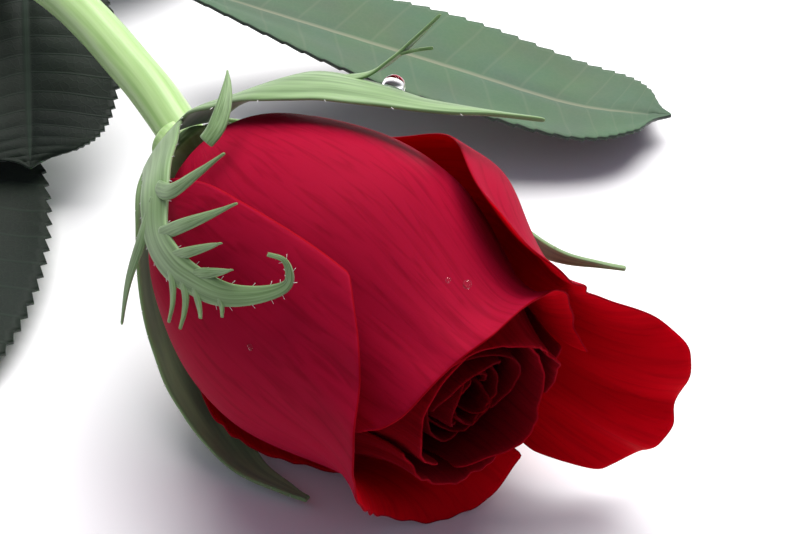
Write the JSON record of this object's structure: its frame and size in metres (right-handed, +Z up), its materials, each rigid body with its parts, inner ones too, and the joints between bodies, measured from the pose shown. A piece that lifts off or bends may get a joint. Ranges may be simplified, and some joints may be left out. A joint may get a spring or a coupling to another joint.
{
  "type": "cut rose",
  "caption": "Cut red rose lying on a surface: a half-open bud with flared outer petals, reflexed sepals, a prickly stem and compound leaves.",
  "frame": {"origin": "on the surface that the rose lies on, below the middle of its bounding box", "axes": "+X along the rose from the cut end of the stem to the bloom, +Y to the side of the leaf beside the bud, +Z up"},
  "size_m": [0.2528, 0.129, 0.0487],
  "materials": {
    "outer_petal": "velvety crimson, matt, with fine veins and duller backs",
    "inner_petal": "velvety dark maroon",
    "stem": "smooth yellow-green skin with a soft waxy sheen",
    "sepal": "grey-green with a pale edge and fine hairs",
    "leaf": "dark green upper side with net veins, paler grey-green under side"
  },
  "bodies": {
    "root": {"receptacle": "stem", "petal_01_under": "outer_petal", "petal_02_right": "outer_petal", "petal_03_front": "outer_petal", "petal_04_top": "outer_petal", "petal_05_back": "outer_petal", "petal_06_left": "outer_petal", "petal_07_right": "outer_petal", "petal_08_left": "outer_petal", "petal_09_right": "outer_petal", "petal_10_heart": "inner_petal", "petal_11_heart": "inner_petal", "petal_12_heart": "inner_petal", "petal_13_heart": "inner_petal", "petal_14_heart": "inner_petal", "petal_15_heart": "inner_petal", "petal_16_heart": "inner_petal", "petal_17_heart": "inner_petal", "petal_18_heart": "inner_petal", "petal_19_heart": "inner_petal", "sepal_front": "sepal", "sepal_top": "sepal", "sepal_left": "sepal", "sepal_under": "sepal", "sepal_far": "sepal", "stem": "stem", "leaf_a_stalk": "stem", "leaf_a_end_leaflet": "leaf", "leaf_a_near_leaflet": "leaf", "leaf_a_far_leaflet": "leaf", "leaf_b_stalk": "stem", "leaf_b_end_leaflet": "leaf", "leaf_b_near_leaflet": "leaf", "leaf_b_far_leaflet": "leaf"}
  },
  "joints": []
}
